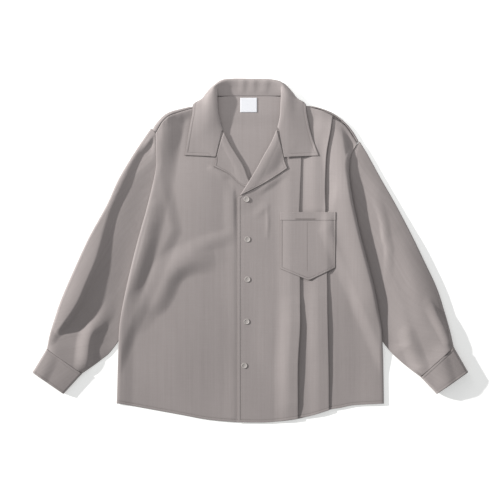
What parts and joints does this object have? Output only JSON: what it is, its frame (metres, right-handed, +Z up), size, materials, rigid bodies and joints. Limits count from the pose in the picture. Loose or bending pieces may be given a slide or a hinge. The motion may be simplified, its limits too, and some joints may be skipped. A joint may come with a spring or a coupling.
{
  "type": "shirt jacket laid flat",
  "caption": "Boxy long-sleeved shirt jacket with a notched camp collar, two long pleats and a pointed chest pocket on one front, and a buttoned front, laid flat on its back.",
  "frame": {"origin": "middle of the back's flat underside, on the surface that the garment lies on", "axes": "+Z upwards through the front, +Y towards the collar, +X across the garment towards the wearer's left sleeve"},
  "size_m": [0.979, 0.7738, 0.0229],
  "materials": {
    "shirting": "matt taupe-grey woven shirting with a fine vertical slub",
    "label_cloth": "smooth white woven label, bare",
    "button_shell": "glossy grey-brown shell-like resin"
  },
  "bodies": {
    "root": {"back": "shirting", "front_right": "shirting", "front_left": "shirting", "sleeve_right": "shirting", "sleeve_left": "shirting", "cuff_right": "shirting", "cuff_left": "shirting", "collar": "shirting", "lapel_right": "shirting", "lapel_left": "shirting", "pocket": "shirting", "pocket_band": "shirting", "neck_label": "label_cloth", "button_1": "button_shell", "button_2": "button_shell", "button_3": "button_shell", "button_4": "button_shell", "button_5": "button_shell"}
  },
  "joints": []
}
